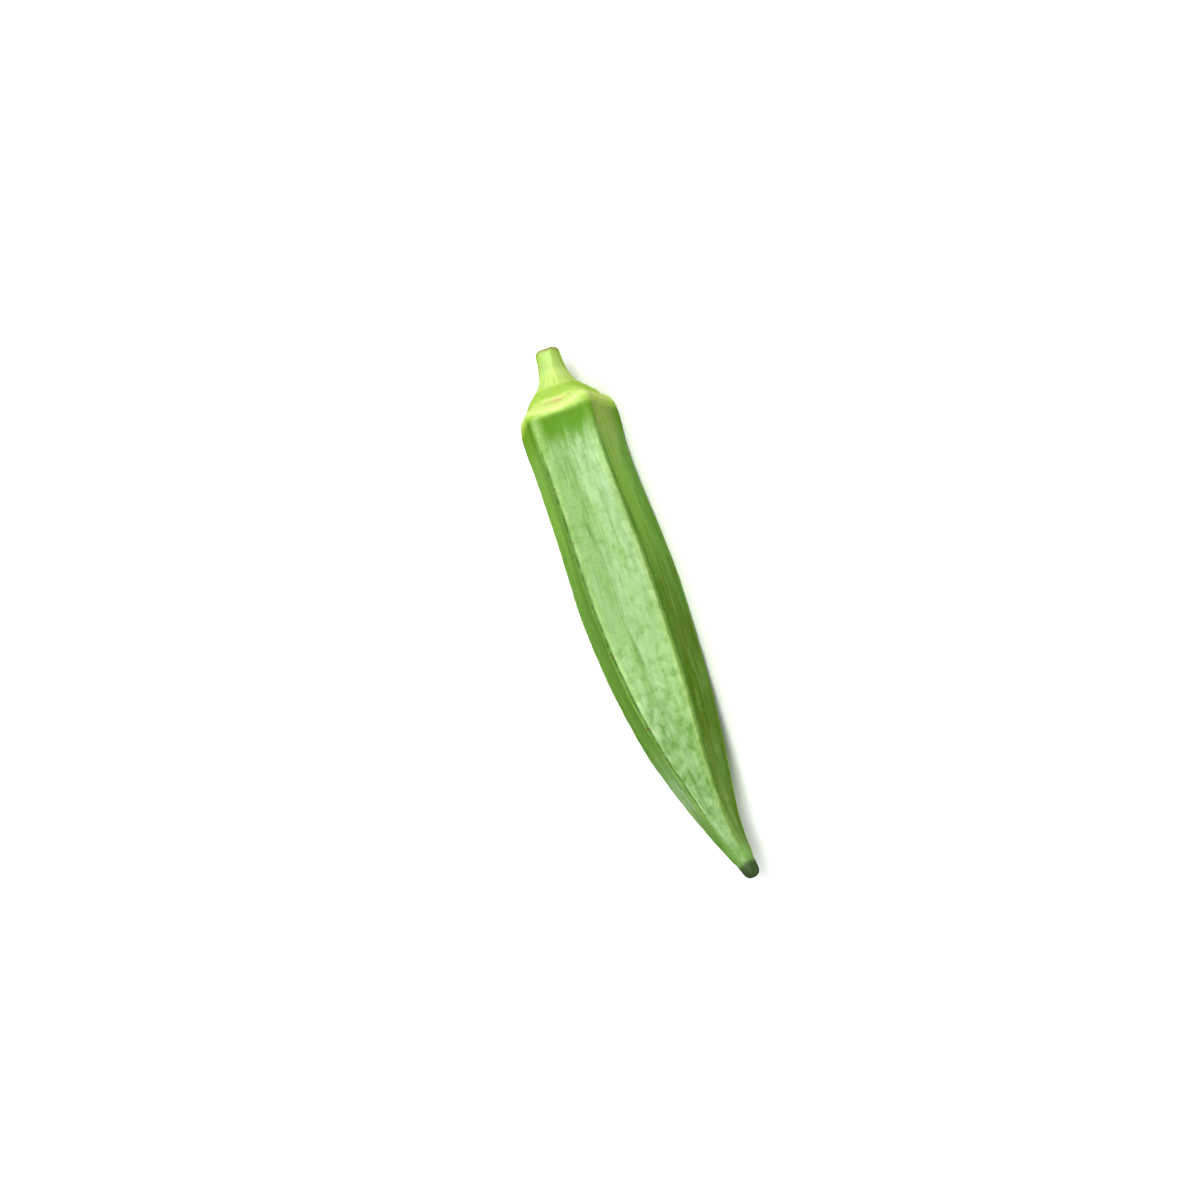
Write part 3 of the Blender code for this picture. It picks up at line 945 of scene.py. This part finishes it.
def skin_values(along, turn, settings):
    """By name, what the skin's material reads at each point.

    The lines of the ridges are bells across them. What is on a face is as strong as the row for the
    faces says, and most of it ends before the ridges.
    """
    radius = ridge_radius_and_sharpness(along)[0]
    ridge = np.round(turn / FACE_TURN).astype(int) % RIDGES
    face = face_of(turn)
    off_ridge = corner_angle(turn) * radius
    from_middle, from_top = middle_angle(turn), top_angle(turn)
    ribbed, on_faces = between(along, RIBBED), between(along, ON_FACES)
    inside_face = 1 - smooth_step(np.abs(from_middle), *FACE_SIDES)

    def along_ridges(rows):
        """A bell across each ridge, of that ridge's strength, place and width."""
        strength, place, width = (np.array(row)[ridge] for row in rows)
        return strength * hump(off_ridge, place * MM, width * MM) * ribbed

    below_rim = np.where(ridge == 0, 1.0, smooth_step(along, *RIDGE_LINE_STARTS))
    before_neck = np.where(ridge == 0, 1 - TOP_SHADE_FADING * smooth_step(along, *TOP_SHADE_ENDS), 1.0)
    shades = along_ridges(RIDGE_SHADES) * before_neck * smooth_step(along, *RIDGE_SHADE_STARTS)
    spotted = np.array(RIDGE_SPOTS)[ridge] * hump(off_ridge, 0.0, RIDGE_SPOT_WIDTH) * ribbed

    # The stripe down each face is a painted reflection
    near_rim = 1 - smooth_step(along, *STRIPE_TOP_ENDS)
    stripe_width = (STRIPE_WIDTH + STRIPE_WIDENING * near_rim) * MM
    stripes = STRIPE_LOW_STRENGTH + (1 - STRIPE_LOW_STRENGTH) * near_rim
    stripes = np.array(REFLECTION_STRIPES)[face] * stripes * on_faces
    stripes = stripes * hump(from_middle * radius, STRIPE_PLACE, stripe_width)

    # The olive tinge deepens away from the rim as painted shade, and the stalk's right side is darkened with
    # it as painted shade
    deeper_shade = OLIVE_LEAST + (1 - OLIVE_LEAST) * smooth_step(along, *SHADE_DEEPENS)
    tinges = np.array(OLIVE_TINGES)[face] * deeper_shade * inside_face
    before_ridge = np.array(RIDGE_OLIVES)[ridge] * hump(off_ridge, RIDGE_OLIVE_PLACE, RIDGE_OLIVE_WIDTH)
    before_ridge = before_ridge * smooth_step(along, *RIDGE_OLIVE_STARTS)
    shaded_stalk_side = between(from_top, STALK_SIDE_TURN) * (1 - smooth_step(along, *STALK_SIDE_ENDS))
    olive_and_shade = np.maximum(tinges, before_ridge) * on_faces + STALK_SIDE_SHADE * shaded_stalk_side

    # Paler tops of the faces are painted light
    paled = np.array(PAINTED_LIGHT_TOPS)[face] * (1 - smooth_step(along, *PALE_TOP_ENDS))
    paled = paled * hump(from_middle, *PALE_TOP_TURN) * on_faces * inside_face
    corner = hump(from_top, *PALE_CORNER_TURN) * between(along, PALE_CORNER_ALONG)
    # The pale tinge towards the tip is partly painted sheen
    bloom_and_sheen = np.array(BEAK_BLOOMS_AND_SHEEN)[face] * smooth_step(along, *BLOOM_AND_SHEEN_STARTS)

    dull = between(from_top, DULL_TURN) * between(along, DULL_ALONG)
    dull_beak = smooth_step(from_top, *BEAK_DULL_TURN) * smooth_step(along, *BEAK_DULL_STARTS)
    wax = 1 - DULLNESS * np.maximum(np.maximum(dull, dull_beak), bloom_and_sheen)
    for strength, middle, width in GLOSSY_PLACES:
        wax = wax + strength * between(from_top, GLOSSY_TURN) * hump(along, middle, width)
    scarred = SCARRED_LEAST + SCARRED_MORE * hump(from_top, *SCARRED_TURN)
    circle = STRAIGHT_RADIUS * np.stack([np.cos(turn), np.sin(turn)], -1)
    return {
        "straight": np.c_[circle, along / MM],
        "ridge_line": along_ridges(RIDGE_LINES) * below_rim * settings.ridge_line_strength,
        "ridge_shade": shades,
        "ridge_glint": along_ridges(RIDGE_GLINTS) * (1 - smooth_step(along, *RIDGE_GLINT_ENDS)),
        "ridge_near": spotted,
        "crease": crease_strength(along, turn),
        "wrinkle": wrinkled(skin_points(along, turn), along, turn),
        "stripe": stripes,
        # Painted shade on the right part of the rim, and painted light on the skin just below it
        "rim_shade_and_light": RIM_SHADE_AND_LIGHT * between(from_top, RIM_SHADE_TURN) * between(along, RIM_SHADE_ALONG),
        "olive_and_shade": olive_and_shade,
        "paled": np.maximum(paled, PALE_CORNER * corner),
        "corner_wax": CORNER_WAX * corner,
        "bloom_and_sheen": bloom_and_sheen * (1 - smooth_step(along, *BLOOM_AND_SHEEN_ENDS)) * inside_face,
        "wax": wax,
        "scar": scarred * hump(along, SCAR, SCARRED_REACH),
    }


def build_skin(settings):
    """The closed skin: a pole, the rings of the cut face, the rings of the pod, and a pole at the tip."""
    columns, rings = column_angles(), ring_distances()
    along, turn = np.meshgrid(rings, columns, indexing="ij")
    pod = skin_points(along, turn, fine_relief(along, turn, settings))
    pole, cut, share = cut_points(columns, settings)
    end = centre_line(np.array(TIP_END))
    points = np.concatenate([[pole], cut.reshape(-1, 3), pod.reshape(-1, 3), [end]])
    faces = grid_faces(CUT_FACE_RINGS + len(rings), len(columns))
    mesh = new_mesh("pod_skin", laid_down(points, resting_shift()), faces)
    slots = np.zeros(len(mesh.polygons), np.int32)
    slots[: len(columns) * CUT_FACE_RINGS] = 1
    mesh.polygons.foreach_set("material_index", slots)

    def everywhere(cut_values, pod_values, at_cut_pole, at_tip_pole):
        """One value a point, in the order of the mesh's points."""
        parts = [[at_cut_pole], np.broadcast_to(cut_values, cut.shape[:2]).ravel()]
        return np.concatenate(parts + [pod_values.ravel(), [at_tip_pole]])

    all_along = everywhere(CUT_END, along, CUT_END, TIP_END)
    all_turn = everywhere(columns[None], turn, 0.0, 0.0)
    add_attribute(mesh, "cut_share", everywhere(share, np.ones_like(along), 0.0, 1.0))
    for name, values in skin_values(all_along, all_turn, settings).items():
        add_attribute(mesh, name, values)
    skin = show("pod_skin", mesh, (skin_material(settings), cut_material(settings)))
    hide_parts(NODE)
    return skin


def hair_faces():
    """The faces of one hair: two triangles a side from ring to ring, its point and its foot."""
    faces = []
    for here in range(0, (HAIR_RINGS - 1) * HAIR_SIDES, HAIR_SIDES):
        there = here + HAIR_SIDES
        for side in range(HAIR_SIDES):
            beside = (side + 1) % HAIR_SIDES
            faces.append((here + side, there + beside, here + beside))
            faces.append((here + side, there + side, there + beside))
    end, top = HAIR_RINGS * HAIR_SIDES, (HAIR_RINGS - 1) * HAIR_SIDES
    faces += [(top + (side + 1) % HAIR_SIDES, top + side, end) for side in range(HAIR_SIDES)]
    return faces + [tuple(range(HAIR_SIDES))]


def build_down(settings, skin_settings):
    """Short curved hairs on the ridges and the tip, and a few on the faces.

    Each hair is a cone of a few rings along a bent line: it stands up from the skin and leans
    towards the tip, more so the further out.
    """
    random = np.random.default_rng(settings.seed)
    tries = settings.count * HAIR_TRIES
    along = random.uniform(*HAIRY, tries)
    turn = random.uniform(0, 2 * np.pi, tries)
    off_ridge = corner_angle(turn) * ridge_radius_and_sharpness(along)[0]
    likely = HAIR_ON_FACE + HAIR_ON_RIDGE * hump(off_ridge, 0.0, HAIR_RIDGE_WIDTH)
    likely = likely + HAIR_NEAR_TIP * smooth_step(along, *HAIR_TIP_STARTS)
    kept = np.flatnonzero(random.uniform(0, 1, tries) < likely)[: settings.count]
    along, turn = along[kept], turn[kept]

    def surface(a, t):
        return skin_points(a, t, fine_relief(a, t, skin_settings))

    foot = surface(along, turn)
    lengthwise = unit(surface(along + STEP_ALONG, turn) - foot)
    sideways = surface(along, turn + STEP_ROUND) - foot
    outward = unit(np.cross(lengthwise, sideways))
    outward *= np.sign(np.einsum("ij,ij->i", outward, ring_frame(along, turn)[1]))[:, None]
    across = np.cross(outward, lengthwise)

    count = len(along)
    length = settings.length * random.uniform(*HAIR_LENGTHS, count)
    lean = random.uniform(*HAIR_LEANS, count)[:, None]
    aside = random.uniform(*HAIR_BENDS, count)[:, None]
    share = np.linspace(0, 1, HAIR_RINGS + 1)[:, None, None]
    rise = share * outward * (1 - HAIR_DROOP * lean * share)
    bend = share**2 * (lean * lengthwise + aside * across)
    line = foot - HAIR_ROOT * outward + length[:, None] * (rise + bend)
    corner = (np.arange(HAIR_SIDES) * 2 * np.pi / HAIR_SIDES)[:, None, None]
    round_it = np.cos(corner) * across + np.sin(corner) * lengthwise
    thick = settings.thickness / 2 * (1 - HAIR_TAPER * share[:HAIR_RINGS])
    body = line[:HAIR_RINGS, None] + thick[..., None] * round_it
    rings = body.transpose(2, 0, 1, 3).reshape(count, -1, 3)
    points = pitched(np.concatenate([rings, line[HAIR_RINGS][:, None]], axis=1)) + resting_shift()
    points = points[points[..., 2].min(axis=1) > HAIR_CLEARANCE]
    starts = points.shape[1] * np.arange(len(points))[:, None, None]
    faces = (np.array(hair_faces()) + starts).reshape(-1, 3)
    mesh = new_mesh("ridge_down", points.reshape(-1, 3), faces.tolist())
    colours = (settings.hair_colour, settings.hair_dark_colour)
    material = patched_material("okra_down", colours, DOWN_NOISE, DOWN_RANGE, DOWN_MATTNESS)
    return show("ridge_down", mesh, (material,))


def add_soft_light(name, towards, spread, strength):
    """A far, round, soft light in that direction, as wide as the spread angle.

    The strength is how bright a white floor is under it when it stands straight overhead.
    """
    light = bpy.data.lights.new(name, "SUN")
    light.angle = spread
    light.energy = strength * np.pi
    lamp = new_object(name, light)
    lamp.rotation_euler = Vector(towards).to_track_quat("Z", "Y").to_euler()
    return lamp


def pale_world(settings):
    """Even light all around, low so that the pod has a light and a dark side; the camera sees it white."""
    world = bpy.data.worlds.new("even_light")
    world.use_nodes = True
    tree = world.node_tree
    background = tree.nodes["Background"]
    background.inputs["Strength"].default_value = settings.even_light
    background.inputs["Color"].default_value = WHITE
    backdrop = put(tree, "ShaderNodeBackground", {"Strength": 1.0, "Color": WHITE})
    seen = put(tree, "ShaderNodeLightPath").outputs["Is Camera Ray"]
    joined = put(tree, "ShaderNodeMixShader", {0: seen, 1: background.outputs[0], 2: backdrop.outputs[0]})
    tree.links.new(joined.outputs[0], tree.nodes["World Output"].inputs["Surface"])
    return world


def build_stage(settings):
    """A pale floor, a soft light over the front face, one beside it, a wide one, even light, a camera."""
    half = settings.floor_size / 2
    sides = ((-half, -half), (half, -half), (half, half), (-half, half))
    mesh = new_mesh("floor", np.array([[x, y, -FLOOR_DROP] for x, y in sides]), [(0, 1, 2, 3)])
    colours = (settings.floor_colour, FLOOR_TINT)
    mesh.materials.append(
        patched_material("pale_floor", colours, FLOOR_NOISE, FLOOR_RANGE, FLOOR_MATTNESS)
    )
    new_object("floor", mesh)

    add_soft_light("key_light", settings.key_direction, settings.key_spread, settings.key_light)
    add_soft_light("beak_light", settings.beak_direction, settings.key_spread, settings.beak_light)
    add_soft_light("fill_light", settings.fill_direction, settings.fill_spread, settings.fill_light)
    bpy.context.scene.world = pale_world(settings)

    data = bpy.data.cameras.new("camera")
    data.lens = settings.lens
    data.sensor_width = SENSOR_WIDTH_MM
    data.clip_start, data.clip_end = CAMERA_CLIPS
    camera = new_object("camera", data)
    back = Vector(settings.camera_direction).normalized()
    right = Vector(settings.camera_right)
    right = (right - back * right.dot(back)).normalized()
    place = Matrix((right, back.cross(right), back)).transposed().to_4x4()
    place.translation = Vector(settings.camera_place)
    camera.matrix_world = place
    bpy.context.scene.camera = camera
    view = bpy.context.scene.view_settings
    view.view_transform = "Standard"
    view.look = "None"
    view.gamma = settings.picture_gamma
    return camera


def number_property(name, description, default, **kind):
    kind = {"min": 0.0, **kind}
    return bpy.props.FloatProperty(name=name, description=description, default=default, **kind)


def length_property(name, description, default):
    return number_property(name, description, default, unit="LENGTH", subtype="DISTANCE")


def vector_property(name, description, *default, **kind):
    kind = {"subtype": "DIRECTION", **kind}
    return bpy.props.FloatVectorProperty(name=name, description=description, default=default, **kind)


def colour_property(what, *default):
    name, description = what.capitalize(), "Colour of the " + what
    return vector_property(name, description, *default, subtype="COLOR", min=0.0, max=1.0)


class SkinSettings(bpy.types.PropertyGroup):
    line_height: length_property("Line height", "Height of the long fine lines", 0.02 * MM)
    swelling_height: length_property("Swelling height", "Height of the soft swellings", 0.06 * MM)
    blister_height: length_property("Blister height", "Height of the blisters at the beak", 0.09 * MM)
    crease_depth: length_property("Crease depth", "Depth of the crease on a face", 0.09 * MM)
    wrinkle_depth: length_property("Wrinkle depth", "Depth of the short wrinkles", 0.05 * MM)
    ridge_line_strength: number_property("Ridge lines", "Strength of the pale ridge lines", 0.8, max=1.0)
    stalk_colour: colour_property("stalk", 0.47, 0.61, 0.17)
    # The paler foot of the stalk is painted light
    lit_stalk_foot_colour: colour_property("foot of the stalk", 0.60, 0.75, 0.24)
    cap_colour: colour_property("cap", 0.41, 0.60, 0.11)
    rim_colour: colour_property("raised rim", 0.61, 0.77, 0.25)
    scar_colour: colour_property("thin ring of the scar", 0.63, 0.46, 0.22)
    band_colour: colour_property("band below the rim", 0.135, 0.295, 0.02)
    body_colour: colour_property("faces", 0.20, 0.37, 0.09)
    # Painted light on the tops of the faces
    pale_colour: colour_property("paler drifts", 0.245, 0.46, 0.115)
    paled_colour: colour_property("paler parts below the rim", 0.33, 0.54, 0.10)
    # Partly painted sheen
    bloom_and_sheen_colour: colour_property("bloom of wax where it is thick", 0.36, 0.51, 0.29)
    glint_colour: colour_property("thin pale line by a ridge", 0.45, 0.66, 0.20)
    beak_colour: colour_property("faces towards the beak", 0.19, 0.34, 0.095)
    knob_colour: colour_property("knob at the tip", 0.06, 0.105, 0.036)
    # This colour is also painted shade in the creases and wrinkles
    vein_and_crease_shade_colour: colour_property("fine lines and creases", 0.09, 0.24, 0.022)
    ridge_colour: colour_property("line on a ridge", 0.33, 0.55, 0.06)
    ridge_dark_colour: colour_property("dark line beside a ridge", 0.045, 0.13, 0.012)
    # The olive tinge is partly painted shade
    olive_and_shade_colour: colour_property("olive tinge", 0.13, 0.215, 0.015)
    # Colour of the painted reflection down the faces, also painted shade and light by the rim's right part
    stripe_colour: colour_property("stripe down a face", 0.42, 0.45, 0.19)
    spot_colour: colour_property("brown spots", 0.20, 0.07, 0.02)
    pith_colour: colour_property("pith in the cut", 0.75, 0.80, 0.55)
    cut_edge_colour: colour_property("dried edge of the cut", 0.33, 0.25, 0.10)


class DownSettings(bpy.types.PropertyGroup):
    count: bpy.props.IntProperty(name="Hairs", description="Number of hairs", default=2600, min=1)
    length: length_property("Length", "Length of the longest hairs", 0.55 * MM)
    thickness: length_property("Thickness", "Thickness of a hair at its foot", 0.045 * MM)
    seed: bpy.props.IntProperty(name="Seed", description="Start of the random numbers", default=8)
    hair_colour: colour_property("hairs", 0.48, 0.64, 0.26)
    hair_dark_colour: colour_property("darker patches of the hairs", 0.28, 0.44, 0.12)


class StageSettings(bpy.types.PropertyGroup):
    floor_size: length_property("Floor size", "Side of the square floor", 6.0)
    floor_colour: colour_property("floor", 0.92, 0.92, 0.925)
    key_light: number_property("Key light", "Brightness of the main soft light", 0.72)
    beak_light: number_property("Beak light", "Brightness of the light towards the tip", 0.54)
    fill_light: number_property("Fill light", "Brightness of the second soft light", 0.42)
    even_light: number_property("Even light", "Brightness of the light from all around", 0.12)
    key_spread: number_property(
        "Key spread", "How wide the main light looks", np.radians(42), subtype="ANGLE"
    )
    fill_spread: number_property(
        "Fill spread", "How wide the second light looks", np.radians(70), subtype="ANGLE"
    )
    key_direction: vector_property("Key direction", "From the pod towards the main light", 0.22, -0.44, 0.87)
    beak_direction: vector_property(
        "Beak direction", "From the pod towards the light beside the main one", -0.36, -0.40, 0.84
    )
    fill_direction: vector_property(
        "Fill direction", "From the pod towards the second light", 0.35, 0.75, 0.6
    )
    picture_gamma: number_property("Picture gamma", "Under 1 gives a picture more contrast", 0.8, min=0.1)
    lens: number_property("Lens", "Focal length in millimetres", 100.0, unit="CAMERA", min=1.0)
    camera_place: vector_property(
        "Camera place",
        "Where the camera stands",
        *(-0.16266, -0.41098, 0.48171),
        subtype="TRANSLATION",
        unit="LENGTH",
    )
    camera_direction: vector_property(
        "Camera direction", "From the pod towards the camera", -0.2588, -0.6400, 0.7234
    )
    camera_right: vector_property(
        "Image right", "The direction that is to the right in the picture", -0.3411, -0.6402, -0.6884
    )


class OKRA_OT_make_skin(bpy.types.Operator):
    """Builds the pod's skin in place of the plain solid"""

    bl_idname = "okra.make_skin"
    bl_label = "Make skin"

    def execute(self, context):
        build_skin(context.scene.okra_skin)
        return {"FINISHED"}


class OKRA_OT_make_down(bpy.types.Operator):
    """Sets short hairs on the skin"""

    bl_idname = "okra.make_down"
    bl_label = "Make down"

    def execute(self, context):
        build_down(context.scene.okra_down, context.scene.okra_skin)
        return {"FINISHED"}


class OKRA_OT_set_stage(bpy.types.Operator):
    """Adds the floor, the lights and the camera"""

    bl_idname = "okra.set_stage"
    bl_label = "Set stage"

    def execute(self, context):
        build_stage(context.scene.okra_stage)
        return {"FINISHED"}


class OKRA_PT_panel(bpy.types.Panel):
    """Lists the pod's pieces and their settings"""

    bl_idname = "OKRA_PT_panel"
    bl_label = "Okra pod"
    bl_space_type = "VIEW_3D"
    bl_region_type = "UI"
    bl_category = "Okra"

    def draw(self, context):
        scene = context.scene
        for operator, settings in (
            (OKRA_OT_make_skin, scene.okra_skin),
            (OKRA_OT_make_down, scene.okra_down),
            (OKRA_OT_set_stage, scene.okra_stage),
        ):
            box = self.layout.box()
            box.operator(operator.bl_idname)
            for name in settings.bl_rna.properties.keys():
                if name not in ("rna_type", "name"):
                    box.prop(settings, name)


CLASSES = (
    SkinSettings,
    DownSettings,
    StageSettings,
    OKRA_OT_make_skin,
    OKRA_OT_make_down,
    OKRA_OT_set_stage,
    OKRA_PT_panel,
)


def register():
    for each in CLASSES:
        bpy.utils.register_class(each)
    bpy.types.Scene.okra_skin = bpy.props.PointerProperty(type=SkinSettings)
    bpy.types.Scene.okra_down = bpy.props.PointerProperty(type=DownSettings)
    bpy.types.Scene.okra_stage = bpy.props.PointerProperty(type=StageSettings)


def unregister():
    del bpy.types.Scene.okra_stage
    del bpy.types.Scene.okra_down
    del bpy.types.Scene.okra_skin
    for each in reversed(CLASSES):
        bpy.utils.unregister_class(each)


def main():
    register()
    bpy.ops.okra.make_skin()
    bpy.ops.okra.make_down()
    bpy.ops.okra.set_stage()


if __name__ == "__main__":
    main()
